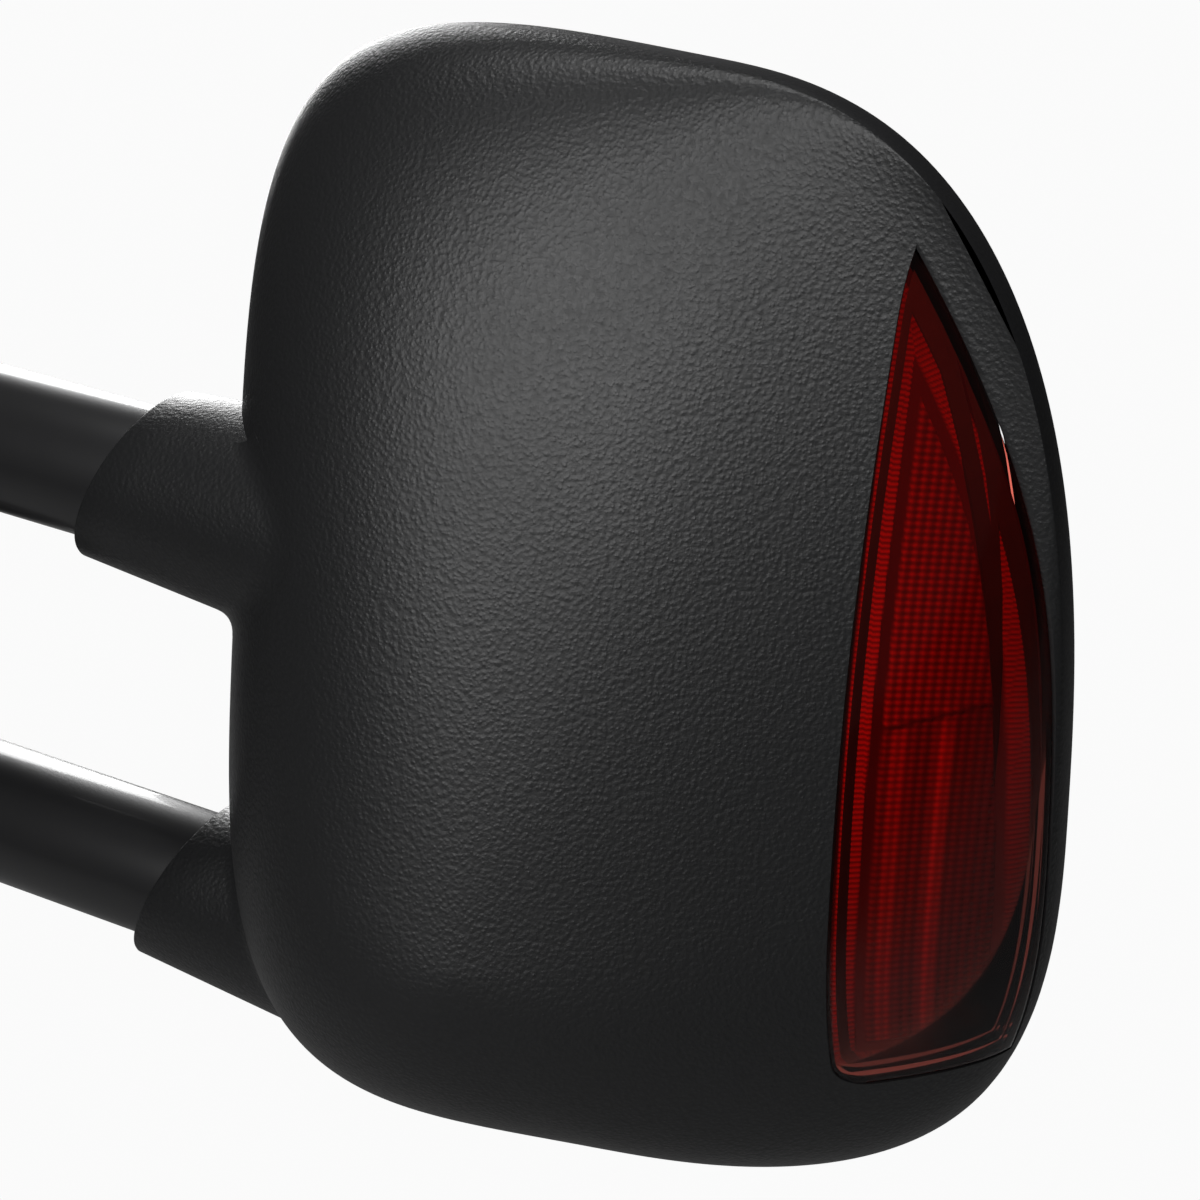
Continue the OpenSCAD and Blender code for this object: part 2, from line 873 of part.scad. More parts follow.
// Ring with its four trunnion pins, at point p
module gimbal_ring(p) {
    difference() {
        bar_y(p[0], p[1] - 2, p[1] + 2, p[2], gimbal_r);
        bar_y(p[0], p[1] - 3, p[1] + 3, p[2], gimbal_r - 3);
    }
    for (s = [-1, 1]) {
        x = p[0] + s * (gimbal_r - 1);
        z = p[2] + s * (gimbal_r - 2);
        bar_x(min(x, x + s * 7), max(x, x + s * 7), p[1], p[2], trunnion_r);
        bar_z(p[0], p[1], min(z, z - s * 4.5), max(z, z - s * 4.5), trunnion_r);
    }
}

// Lugs of a glass holder that turn on the upright pins of the ring at p
module holder_lugs(p) {
    for (s = [-1, 1])
        difference() {
            z0 = p[2] + s * 9 - 1.5;
            union() {
                translate([p[0] - 3, p[1], z0]) cube([6, holder_back_y - p[1] + 0.5, 3]);
                bar_z(p[0], p[1], z0, z0 + 3, 3);
            }
            bar_z(p[0], p[1], z0 - 1, z0 + 4, trunnion_r + gimbal_gap);
        }
}

module actuator_case() {
    color("#3a3d40") difference() {
        union() {
            slab_y(case_y0, cover_y0) case_outline(0);
            for (x = tab_screw_x)
                slab_y(plate_y1, plate_y1 + tab_t) translate([x - 6, tab_z - 6]) square(12);
            slab_y(plate_y1, plate_y1 + tab_t) translate([tab_screw_x[0], tab_z - 6])
                square([tab_screw_x[1] - tab_screw_x[0], 12]);
        }
        slab_y(case_y0 + 2, cover_y0 + 1) case_outline(2);
        for (x = tab_screw_x)
            bar_y(x, 20, 50, tab_z, screw_r);
    }
}

module actuator_cover() {
    color("#45494d") difference() {
        union() {
            slab_y(cover_y0, cover_y1) case_outline(0);
            gimbal_ears(upper_pivot, cover_y1 - 0.5);
        }
        bar_y(upper_pivot[0], 30, 45, upper_pivot[2] + jack_arm, rod_r + gimbal_gap);
        bar_y(upper_pivot[0] - jack_arm, 30, 45, upper_pivot[2], rod_r + gimbal_gap);
    }
}

module tilt_motor(x, z) {
    bar_z(x, (case_y0 + cover_y0) / 2, z, z + 25, motor_r);
    bar_z(x, (case_y0 + cover_y0) / 2, z + 25, z + 30, 1);
}

module tilt_motor_vertical() {
    color("#9a9ea3") tilt_motor(385, 98);
}

module tilt_motor_horizontal() {
    color("#9a9ea3") tilt_motor(333, 98);
}

module actuator_screws() {
    color("silver") for (x = tab_screw_x) {
        bar_y(x, 26, plate_y1 + tab_t, tab_z, screw_r);
        bar_y(x, plate_y1 + tab_t, plate_y1 + tab_t + 1.5, tab_z, 3.8);
    }
}

// Threaded plunger that pushes the glass holder at X, Z
module jack(x, z) {
    bar_y(x, 29, holder_back_y - rod_r - 0.9, z, rod_r);
    translate([x, holder_back_y - rod_r - 0.9, z]) sphere(r = rod_r);
}

module jack_vertical() {
    color("#dcd6c6") jack(upper_pivot[0], upper_pivot[2] + jack_arm);
}

module jack_horizontal() {
    color("#dcd6c6") jack(upper_pivot[0] - jack_arm, upper_pivot[2]);
}

module glass_gimbal() {
    color("#6d7278") gimbal_ring(upper_pivot);
}

// ---- Mirror glasses ----

back_t = 2;
heater_t = 0.5;
rim_w = 1.4;

// Outline of a glass with eased corners, inset by w more than the holder
module upper_outline(w) {
    offset(r = 12) offset(delta = -12) upper_window(glass_inset + w, glass_gap + w);
}

module lower_outline(w) {
    offset(r = 12) offset(delta = -12) lower_window(glass_inset + w, glass_gap + w);
}

module upper_glass_holder() {
    color("#1a1b1c") {
        slab_y(holder_back_y, holder_back_y + back_t) upper_outline(0);
        slab_y(holder_back_y + back_t, glass_face_y) difference() {
            upper_outline(0);
            upper_outline(rim_w);
        }
        holder_lugs(upper_pivot);
    }
}

module glass_heater() {
    color("#c2792e") slab_y(holder_back_y + back_t, holder_back_y + back_t + heater_t)
        upper_outline(rim_w + 0.2);
}

module upper_glass() {
    color("#b9c7d3") slab_y(glass_face_y - glass_t, glass_face_y) upper_outline(rim_w + 0.1);
}

module spotter_mount() {
    color("#45494d") {
        slab_y(plate_y1, plate_y1 + tab_t) translate([lower_pivot[0], lower_pivot[2]])
            polygon(rounded(52, 26, 6));
        gimbal_ears(lower_pivot, plate_y1 + 2);
    }
}

module spotter_gimbal() {
    color("#6d7278") gimbal_ring(lower_pivot);
}

module spotter_holder() {
    color("#1a1b1c") {
        slab_y(holder_back_y, holder_back_y + back_t) lower_outline(0);
        slab_y(holder_back_y + back_t, glass_face_y) difference() {
            lower_outline(0);
            lower_outline(rim_w);
        }
        holder_lugs(lower_pivot);
    }
}

module spotter_glass() {
    color("#b9c7d3") slab_y(glass_face_y - glass_t, glass_face_y) lower_outline(rim_w + 0.1);
}

base_casting();
door_gasket();
door_studs();
base_cover();
wire_grommet();
pivot_pin();
pivot_nut();
spring_washers();
thrust_washers();
pivot_cap();
arm_bracket();
pivot_bushes();
bracket_cover_front();
bracket_cover_rear();
bracket_cover_screws();
tube_set_screws();
upper_arm_tube();
lower_arm_tube();
tube_end_stops();
head_frame();
tube_bushes();
friction_pads();
friction_springs();
friction_plugs();
tube_seals();
carrier_plate();
frame_screws();
front_shell();
cuff_cap_upper();
cuff_cap_lower();
rear_housing();
signal_lens();
lens_optic();
lamp_reflector();
lamp_housing();
led_board();
signal_leds();
marker_bulb();
bulb_socket();
actuator_case();
actuator_cover();
tilt_motor_vertical();
tilt_motor_horizontal();
actuator_screws();
jack_vertical();
jack_horizontal();
glass_gimbal();
upper_glass();
glass_heater();
upper_glass_holder();
spotter_mount();
spotter_gimbal();
spotter_glass();
spotter_holder();
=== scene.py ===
import json
import math

import bmesh
import bpy
import numpy as np
from mathutils.kdtree import KDTree
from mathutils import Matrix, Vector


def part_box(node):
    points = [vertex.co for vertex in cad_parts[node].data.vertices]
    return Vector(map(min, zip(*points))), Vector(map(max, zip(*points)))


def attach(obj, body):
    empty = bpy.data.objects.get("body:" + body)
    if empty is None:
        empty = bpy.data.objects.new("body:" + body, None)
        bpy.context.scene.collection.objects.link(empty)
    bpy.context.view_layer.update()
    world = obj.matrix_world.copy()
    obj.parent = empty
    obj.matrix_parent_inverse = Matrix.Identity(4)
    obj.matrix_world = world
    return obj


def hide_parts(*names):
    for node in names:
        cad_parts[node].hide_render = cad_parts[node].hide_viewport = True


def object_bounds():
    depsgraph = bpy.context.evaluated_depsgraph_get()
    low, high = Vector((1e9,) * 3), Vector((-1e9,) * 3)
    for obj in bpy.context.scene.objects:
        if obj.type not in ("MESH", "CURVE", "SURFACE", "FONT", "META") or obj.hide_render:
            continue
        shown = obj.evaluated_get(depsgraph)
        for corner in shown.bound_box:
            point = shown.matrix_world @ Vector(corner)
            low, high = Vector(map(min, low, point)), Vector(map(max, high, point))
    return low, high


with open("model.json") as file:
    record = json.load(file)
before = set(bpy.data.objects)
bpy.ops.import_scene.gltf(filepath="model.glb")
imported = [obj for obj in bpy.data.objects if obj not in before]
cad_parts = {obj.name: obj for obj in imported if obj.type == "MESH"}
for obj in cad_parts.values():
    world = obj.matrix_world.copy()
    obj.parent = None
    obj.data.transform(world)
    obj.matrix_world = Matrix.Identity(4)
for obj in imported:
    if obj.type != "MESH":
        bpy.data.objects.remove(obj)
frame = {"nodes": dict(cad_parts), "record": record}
cad_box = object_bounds()

# ---- Camera, floor and lights ----
# A long lens looks down on the front of the head from its outboard side. The floor is a
# plain white sweep. A wide soft box lights the front, one behind lights the rim, and one
# stands overhead.
camera_place = (0.8464, -0.7305, 0.5023)
look_turn = math.radians(32.46)
look_down = math.radians(26.65)
bpy.ops.object.camera_add(location=camera_place, rotation=(math.pi / 2 - look_down, 0, look_turn))
camera = bpy.context.object
camera.data.lens = 109.3
camera.data.sensor_width = 36
camera.data.dof.use_dof = False
bpy.context.scene.camera = camera
bpy.context.scene.view_settings.view_transform = "Standard"

world = bpy.data.worlds.new("studio")
bpy.context.scene.world = world
world.use_nodes = True
sky = world.node_tree
rays = sky.nodes.new("ShaderNodeLightPath")
level = sky.nodes.new("ShaderNodeMapRange")
level.inputs["To Min"].default_value = 0.045
level.inputs["To Max"].default_value = 1.0
sky.links.new(rays.outputs["Is Camera Ray"], level.inputs["Value"])
sky.links.new(level.outputs["Result"], sky.nodes["Background"].inputs["Strength"])
sky.nodes["Background"].inputs["Color"].default_value = (1, 1, 1, 1)

floor_drop = 0.25
bpy.ops.mesh.primitive_plane_add(size=8, location=(0.3, 0, cad_box[0][2] - floor_drop))
floor = bpy.context.object
floor.name = "floor"
pale = bpy.data.materials.new("pale_floor")
pale.use_nodes = True
paper = pale.node_tree
paper.nodes["Principled BSDF"].inputs["Base Color"].default_value = (0.30, 0.30, 0.30, 1)
paper.nodes["Principled BSDF"].inputs["Roughness"].default_value = 0.9
seen = paper.nodes.new("ShaderNodeLightPath")
glow = paper.nodes.new("ShaderNodeEmission")
glow.inputs["Color"].default_value = (0.96, 0.96, 0.96, 1)
either = paper.nodes.new("ShaderNodeMixShader")
paper.links.new(seen.outputs["Is Camera Ray"], either.inputs["Fac"])
paper.links.new(paper.nodes["Principled BSDF"].outputs["BSDF"], either.inputs[1])
paper.links.new(glow.outputs["Emission"], either.inputs[2])
paper.links.new(either.outputs["Shader"], paper.nodes["Material Output"].inputs["Surface"])
floor.data.materials.append(pale)


def soft_box(name, place, aim, width, height, power):
    """One soft box that stands at place and faces aim."""
    bpy.ops.object.light_add(type="AREA", location=place)
    lamp = bpy.context.object
    lamp.name = name
    lamp.data.shape = "RECTANGLE"
    lamp.data.size = width
    lamp.data.size_y = height
    lamp.data.energy = power
    away = np.array(place) - np.array(aim)
    lamp.rotation_euler = (
        math.atan2(math.hypot(away[0], away[1]), away[2]), 0, math.atan2(away[0], -away[1])
    )
    return lamp


head_middle = (0.37, 0.0, 0.06)
soft_box("front_box", (0.51, -1.03, 0.66), head_middle, 0.80, 0.35, 9)
soft_box("rim_box", (-0.45, 0.80, 0.15), head_middle, 0.30, 0.60, 7)
soft_box("top_box", (0.15, 0.10, 1.20), head_middle, 0.60, 0.25, 5)

# ---- Finishes ----
# Each finish is one material. Patterns read Object coordinates, in metres, so that grain
# has its real size, and plain expressions on values become Math nodes.


class Signal:
    """A value socket inside a finish, so that pattern maths reads as plain expressions."""

    def __init__(self, finish, socket):
        self.finish = finish
        self.socket = socket

    def _math(self, operation, first, second):
        return self.finish.node("ShaderNodeMath", {"operation": operation}, {0: first, 1: second})

    def __add__(self, other):
        return self._math("ADD", self, other)

    def __radd__(self, other):
        return self._math("ADD", other, self)

    def __sub__(self, other):
        return self._math("SUBTRACT", self, other)

    def __rsub__(self, other):
        return self._math("SUBTRACT", other, self)

    def __mul__(self, other):
        return self._math("MULTIPLY", self, other)

    def __rmul__(self, other):
        return self._math("MULTIPLY", other, self)


class Finish:
    """One material; constants go straight onto the shader's own sockets."""

    def __init__(self, name, **constants):
        self.material = bpy.data.materials.new(name)
        self.material.use_nodes = True
        self.tree = self.material.node_tree
        self.shader = self.tree.nodes["Principled BSDF"]
        for socket, value in constants.items():
            self.shader.inputs[socket.replace("_", " ")].default_value = value

    def node(self, kind, settings, inputs, output=0):
        """Adds a node: its settings first, then the values or links of its sockets."""
        made = self.tree.nodes.new(kind)
        for name, value in settings.items():
            setattr(made, name, value)
        for name, value in inputs.items():
            if isinstance(value, Signal):
                self.tree.links.new(value.socket, made.inputs[name])
            else:
                made.inputs[name].default_value = value
        return Signal(self, made.outputs[output])

    def place(self):
        return self.node("ShaderNodeTexCoord", {}, {}, "Object")

    def noise(self, size, detail=2.0, roughness=0.5):
        """Soft noise whose blobs are size metres across."""
        return self.node(
            "ShaderNodeTexNoise", {},
            {"Vector": self.place(), "Scale": 1 / size, "Detail": detail, "Roughness": roughness},
        )

    def cells(self, size, feature="F1"):
        """Distance to the nearest of scattered points, size metres apart."""
        return self.node(
            "ShaderNodeTexVoronoi", {"feature": feature},
            {"Vector": self.place(), "Scale": 1 / size}, "Distance",
        )

    def between(self, amount, first, second):
        """Colour that runs from first to second as amount goes from 0 to 1."""
        return self.node(
            "ShaderNodeMix", {"data_type": "RGBA"}, {0: amount, 6: (*first, 1), 7: (*second, 1)}, 2
        )

    def feed(self, socket, signal):
        self.tree.links.new(signal.socket, self.shader.inputs[socket])

    def relief(self, height, depth, strength=1.0):
        """Bump of the given depth in metres."""
        bumps = {"Height": height, "Distance": depth, "Strength": strength}
        self.feed("Normal", self.node("ShaderNodeBump", {}, bumps, "Normal"))


def pebbled_plastic(name, colour, grain, depth, sheen):
    """Moulded plastic with a leather-like pebble grain, rubbed a little smoother in places."""
    finish = Finish(name, IOR=1.5, Specular_IOR_Level=0.5)
    pebble = finish.cells(grain, "SMOOTH_F1")
    fine = finish.noise(grain * 0.45, 2.0, 0.6)
    broad = finish.noise(0.06, 2.0)
    painted_pebble_tops = tuple(c * 1.6 + 0.003 for c in colour)
    # The colour is painted lighter on the pebble tops and darker in the hollows between them. This
    # is painted shade that follows the bump, mixed with a broad random tone.
    finish.feed("Base Color", finish.between(pebble * 0.7 + broad * 0.3, painted_pebble_tops, colour))
    finish.feed("Roughness", sheen + 0.10 * broad + 0.12 * pebble)
    finish.relief(fine * 0.45 - pebble, depth, 0.9)
    return finish.material


def satin_metal(name, colour, rough, streak=0.004):
    """Plated or bare metal with faint handling marks."""
    finish = Finish(name, Metallic=1.0)
    marks = finish.noise(streak, 4.0, 0.65)
    stain = finish.noise(0.02, 2.0)
    darker = tuple(c * 0.72 for c in colour)
    finish.feed("Base Color", finish.between(marks * 0.5 + stain * 0.5, darker, colour))
    finish.feed("Roughness", rough + 0.16 * marks)
    finish.relief(marks, 0.00004, 0.5)
    return finish.material


def smooth_plastic(name, colour, rough, coat=0.0):
    """Moulded plastic with a fine matt skin and slight flow marks."""
    finish = Finish(name, Coat_Weight=coat, Coat_Roughness=0.08)
    flow = finish.noise(0.012, 3.0, 0.55)
    skin = finish.noise(0.0006, 2.0, 0.6)
    darker = tuple(c * 0.8 for c in colour)
    finish.feed("Base Color", finish.between(flow, darker, colour))
    finish.feed("Roughness", rough + 0.1 * skin)
    finish.relief(skin, 0.00003, 0.5)
    return finish.material


def paint(piece, material):
    """Gives a piece, or a node of the frame, one material."""
    piece.data.materials.clear()
    piece.data.materials.append(material)


def select_only(piece):
    bpy.ops.object.select_all(action="DESELECT")
    piece.select_set(True)
    bpy.context.view_layer.objects.active = piece


def new_piece(name, points, faces):
    """A mesh piece from points in metres, with its normals turned outwards."""
    mesh = bpy.data.meshes.new(name)
    mesh.from_pydata([tuple(p) for p in points], [], faces)
    piece = bpy.data.objects.new(name, mesh)
    bpy.context.scene.collection.objects.link(piece)
    select_only(piece)
    bpy.ops.object.mode_set(mode="EDIT")
    bpy.ops.mesh.select_all(action="SELECT")
    bpy.ops.mesh.remove_doubles(threshold=1e-6)
    bpy.ops.mesh.normals_make_consistent(inside=False)
    bpy.ops.object.mode_set(mode="OBJECT")
    return piece


def grid_faces(rows, columns, start=0, closed=False):
    """Quads between the rows of a grid; closed joins the last column to the first."""
    across = columns if closed else columns - 1
    return [
        (a, b, b + columns, a + columns)
        for j in range(rows - 1)
        for i in range(across)
        for a, b in [(start + j * columns + i, start + j * columns + (i + 1) % columns)]
    ]


def smooth(piece, degrees):
    select_only(piece)
    bpy.ops.object.shade_smooth_by_angle(angle=math.radians(degrees))


def apply_modifier(piece, kind, **settings):
    select_only(piece)
    modifier = piece.modifiers.new(kind.lower(), kind)
    for name, value in settings.items():
        setattr(modifier, name, value)
    bpy.ops.object.modifier_apply(modifier=modifier.name)


def cut_away(piece, cutter):
    """Takes the cutter's volume out of the piece."""
    apply_modifier(piece, "BOOLEAN", operation="DIFFERENCE", solver="EXACT", object=cutter)
    bpy.data.objects.remove(cutter, do_unlink=True)


# ---- Front cover of the head ----
# One large ABS moulding, pebbled black. Its skin runs from the seam forward to a nose, rounder
# at the bottom than at the top, and its wall is cut away for the lens at the outboard edge.
mm = 0.001
rim_low, rim_high = (np.array(corner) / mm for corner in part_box("rear_housing"))
seam_y = rim_low[1]
head_depth = 105.0
nose_x, nose_z = 373.0, -20.0
crown_x, keel_x = 381.0, 398.0
hip_in_z, hip_out_z = 84.0, 7.0
round_in, round_out, round_top, round_low = 1.6, 1.87, 2.5, 1.67
sweep_back, lean_back = 0.58 / 125, -0.5 / 160
cover_wall = 2.6


def shrink(forward, roundness):
    """How much the outline has closed in at a forward fraction from 0 to 1."""
    return np.clip(1 - np.clip(forward, 0, 1) ** roundness, 0, 1) ** (1 / roundness)


def skin_y(x, z, forward, inset):
    swept = 1 - sweep_back * (x - nose_x) + lean_back * (z - nose_z)
    return seam_y - (head_depth - inset) * forward * swept


def outline_frame(up, out, forward, inset):
    """Centre, half reach and squareness of the head's outline in one quarter of it."""
    close_x = shrink(forward, np.where(out, round_out, round_in))
    close_z = shrink(forward, np.where(up, round_top, round_low))
    centre_x = nose_x + (np.where(up, crown_x, keel_x) - nose_x) * close_z
    centre_z = nose_z + (np.where(out, hip_out_z, hip_in_z) - nose_z) * close_x
    edge_x = nose_x + (np.where(out, rim_high[0] - inset, rim_low[0] + inset) - nose_x) * close_x
    edge_z = nose_z + (np.where(up, rim_high[2] - inset, rim_low[2] + inset) - nose_z) * close_z
    rim_square = np.where(up, np.where(out, 2.65, 3.8), np.where(out, 2.65, 5.2))
    square = rim_square + (2.7 - rim_square) * forward
    return centre_x, centre_z, edge_x, edge_z, square


def head_outline(angle, forward, inset):
    """X and Z of the head's outline at an angle round it, in millimetres."""
    c, s = np.cos(angle), np.sin(angle)
    cx, cz, ex, ez, n = outline_frame(s >= 0, c >= 0, forward, inset)
    return cx + (ex - cx) * np.abs(c) ** (2 / n), cz + (ez - cz) * np.abs(s) ** (2 / n)


def front_rings(around, rings, inset):
    """Points of the front skin in rings from the seam to just short of the nose, and the nose."""
    forward = np.sin(np.arange(rings) * math.pi / 2 / rings)[:, None]
    angle = (np.arange(around) * 2 * math.pi / around)[None, :]
    x, z = head_outline(angle, forward, inset)
    y = skin_y(x, z, forward, inset)
    nose = [nose_x, skin_y(nose_x, nose_z, 1.0, inset), nose_z]
    return np.vstack([np.stack([x, y, z], -1).reshape(-1, 3), nose])


def front_bowl(name, around, rings, wall):
    """Hollow front cover: outer skin, inner skin and the flat seam face between them."""
    outer = front_rings(around, rings, 0)
    inner = front_rings(around, rings, wall)
    count = len(outer)
    faces = []
    for start in (0, count):
        faces += grid_faces(rings, around, start, closed=True)
        last = start + (rings - 1) * around
        faces += [(last + i, last + (i + 1) % around, start + count - 1) for i in range(around)]
    faces += [(i, (i + 1) % around, count + (i + 1) % around, count + i) for i in range(around)]
    return new_piece(name, np.vstack([outer, inner]) * mm, faces)


lens_low_z, lens_shoulder_z, lens_top_z = -61.0, 148.0, 179.5
lens_foot_x, lens_tip_x, lens_corner = 457.0, 456.0, 8.0
lens_bow, lens_bow_length = 10.3, 200
lens_back_y = seam_y - 2.5


def lens_left_x(z):
    """Inboard edge of the lens at height z: a slow bow, an arch to the tip, a round foot."""
    z = np.asarray(z, float)
    climb = (np.minimum(z, lens_shoulder_z) - lens_low_z) / lens_bow_length
    side = lens_foot_x - lens_bow * np.sin(math.pi / 2 * climb)
    rise = np.clip((z - lens_shoulder_z) / (lens_top_z - lens_shoulder_z), 0, 1)
    side = lens_tip_x + (side - lens_tip_x) * np.sqrt(1 - rise**2)
    drop = np.clip(lens_low_z + lens_corner - z, 0, lens_corner)
    return side + lens_corner - np.sqrt(lens_corner**2 - drop**2)


def lens_cutter():
    """Prism along Y with the outline of the lens, ending at the back of the lens."""
    past_rim_x, before_lens_y = 540, -40
    arch = lens_top_z - lens_shoulder_z
    heights = np.concatenate([
        lens_low_z + lens_corner * (1 - np.cos(np.linspace(0, math.pi / 2, 9))),
        np.linspace(lens_low_z + lens_corner, lens_shoulder_z, 30)[1:],
        lens_shoulder_z + arch * np.sin(np.linspace(0, math.pi / 2, 20))[1:],
    ])
    edge = [(lens_left_x(z), z) for z in heights]
    edge += [(past_rim_x, lens_top_z), (past_rim_x, lens_low_z)]
    count = len(edge)
    points = [(x * mm, y * mm, z * mm) for y in (before_lens_y, lens_back_y) for x, z in edge]
    faces = [tuple(range(count)), tuple(range(2 * count - 1, count - 1, -1))]
    faces += [(i, (i + 1) % count, count + (i + 1) % count, count + i) for i in range(count)]
    return new_piece("lens_cutter", points, faces)


black_shell = pebbled_plastic("pebbled_black", (0.0075, 0.0077, 0.0082), 0.0012, 0.00020, 0.36)
front_cover = front_bowl("front_cover", 240, 80, cover_wall)
cut_away(front_cover, lens_cutter())
smooth(front_cover, 30)
paint(front_cover, black_shell)
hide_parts("front_shell")
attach(front_cover, "head")

# ---- Signal lens ----
# Clear red polycarbonate, flush with the front cover and with a small rounded lip. Behind it
# lies the moulded optic, with flutes round its edge and a window of small pillows.
lens_gap = 0.35
lens_wall = 2.4


def skin_at_height(forward, z, inset):
    """X and Y of the outboard front skin at height z, in millimetres."""
    waist = nose_z + (hip_out_z - nose_z) * shrink(forward, round_out)
    cx, cz, ex, ez, n = outline_frame(z >= waist, True, forward, inset)
    part = np.clip(np.abs((z - cz) / (ez - cz)), 0, 1)
    x = cx + (ex - cx) * (1 - part**n) ** (1 / n)
    return x, skin_y(x, z, forward, inset)


def forward_where(z, past):
    """Largest forward fraction in each row before past(x, y) turns true."""
    low, high = np.zeros_like(z), np.full_like(z, 0.98)
    for _ in range(40):
        middle = (low + high) / 2
        beyond = past(*skin_at_height(middle, z, 0))
        high = np.where(beyond, middle, high)
        low = np.where(beyond, low, middle)
    return low


def lens_grid(rows, columns):
    """Heights and forward fractions of a grid that fills the lens, evenly spaced in each row."""
    even = np.linspace(0, 1, rows)
    low, high = lens_low_z + lens_gap, lens_top_z - 1.0
    z = low + (high - low) * even
    left = forward_where(z, lambda x, y: x < lens_left_x(z) + lens_gap)
    right = forward_where(z, lambda x, y: y < lens_back_y - lens_gap)
    left = np.maximum(left, right + 0.002)
    fine = right[:, None] + (left - right)[:, None] * np.linspace(0, 1, 160)
    x, y = skin_at_height(fine, z[:, None], 0)
    length = np.hypot(np.diff(x, axis=1), np.diff(y, axis=1)).cumsum(axis=1)
    length = np.hstack([np.zeros((rows, 1)), length])
    forward = np.stack([
        np.interp(np.linspace(0, along[-1], columns), along, row)
        for along, row in zip(length, fine)
    ])
    return z[:, None] + 0 * forward, forward


def lens_points(z, forward, inset):
    x, y = skin_at_height(forward, z, inset)
    return np.stack([x, y, z], -1)


def edge_distance(points):
    """Distance of each grid point from the grid's edge, and how far round the edge that is."""
    edge = np.vstack([points[:, 0], points[-1, 1:], points[::-1, -1][1:], points[0, ::-1][1:]])
    around = np.concatenate([[0], np.linalg.norm(np.diff(edge, axis=0), axis=1).cumsum()])
    distance, place = [], []
    for row in points:
        gaps = np.linalg.norm(row[:, None] - edge[None], axis=-1)
        nearest = gaps.argmin(axis=1)
        distance.append(gaps[np.arange(len(row)), nearest])
        place.append(around[nearest])
    return np.array(distance), np.array(place)


def grid_body(name, front, back):
    """Closed body between two grids of the same size."""
    rows, columns = front.shape[:2]
    count = rows * columns
    rim = [j * columns for j in range(rows)]
    rim += [(rows - 1) * columns + i for i in range(1, columns)]
    rim += [j * columns + columns - 1 for j in range(rows - 2, -1, -1)]
    rim += list(range(columns - 2, 0, -1))
    faces = grid_faces(rows, columns) + grid_faces(rows, columns, count)
    faces += [(a, b, count + b, count + a) for a, b in zip(rim, rim[1:] + rim[:1])]
    return new_piece(name, np.vstack([front.reshape(-1, 3), back.reshape(-1, 3)]) * mm, faces)


lip = 0.7
z, forward = lens_grid(260, 60)
distance, _ = edge_distance(lens_points(z, forward, 0))
fall = lip - np.sqrt(lip**2 - np.clip(lip - distance, 0, lip) ** 2)
lens_back = lens_points(z, forward, lens_wall)
lens = grid_body("signal_lens_shell", lens_points(z, forward, fall), lens_back)
smooth(lens, 50)

red_lens = Finish("red_lens")
clear = red_lens.node("ShaderNodeBsdfTransparent", {}, {"Color": (0.93, 0.42, 0.36, 1)})
gloss = red_lens.node("ShaderNodeBsdfGlossy", {}, {"Roughness": 0.05})
face_on = red_lens.node("ShaderNodeFresnel", {}, {"IOR": 1.5})
swirl = red_lens.noise(0.03, 2.0)
mirrored = face_on * (0.9 + 0.2 * swirl)
mixed = red_lens.node("ShaderNodeMixShader", {}, {0: mirrored, 1: clear, 2: gloss})
lens_output = red_lens.tree.nodes["Material Output"]
red_lens.tree.links.new(mixed.socket, lens_output.inputs["Surface"])
paint(lens, red_lens.material)
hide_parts("signal_lens")
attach(lens, "head")

optic_inset, optic_back = 3.6, 5.4
flute_pitch, pillow_high, pillow_wide = 1.5, 1.9, 2.6
flute_start, frame_start, pane_start = 3.0, 9.3, 12.6
divider_x, divider_z, divider_run, divider_slope = 440, 36.6, 80, 0.30
z, forward = lens_grid(640, 84)
base = lens_points(z, forward, optic_inset)
distance, around = edge_distance(base)
from_left = np.linalg.norm(base - base[:, -1:], axis=-1)


def band(value, low, high, soft=0.4):
    """One between low and high, falling to zero over soft on each side."""
    return np.clip((value - low) / soft + 0.5, 0, 1) * np.clip((high - value) / soft + 0.5, 0, 1)


def ridge(x0, z0, x1, z1, width):
    """One on the line through two points of the front view, zero further than width from it."""
    run, rise = x1 - x0, z1 - z0
    along = np.clip(((base[..., 0] - x0) * run + (z - z0) * rise) / (run**2 + rise**2), 0, 1)
    away = np.hypot(base[..., 0] - x0 - along * run, z - z0 - along * rise)
    return np.clip(1.3 - away / width, 0, 1)


flutes = band(distance, flute_start, frame_start)
frame_band = band(distance, frame_start, pane_start)
pane = band(distance, pane_start, np.inf)
divider_end = (divider_x + divider_run, divider_z + divider_slope * divider_run)
divider = ridge(divider_x, divider_z, *divider_end, 0.9) * pane
fold_line = np.maximum(ridge(462, 138, 483, 103, 1.2), ridge(483, 103, 495, 57, 1.2)) * pane
wave = 0.5 + 0.5 * np.cos(2 * math.pi * around / flute_pitch)
rows_of_pillows = np.cos(2 * math.pi * z / pillow_high)
columns_of_pillows = np.cos(2 * math.pi * from_left / pillow_wide)
pillow = 0.5 + 0.25 * (rows_of_pillows + columns_of_pillows)
sink = 0.40 * flutes * wave + 0.8 * frame_band + 0.35 * pane * pillow
sink -= 0.5 * divider + 0.4 * fold_line
optic_front = lens_points(z, forward, optic_inset + sink)
optic = grid_body("lens_optic_plate", optic_front, lens_points(z, forward, optic_back))
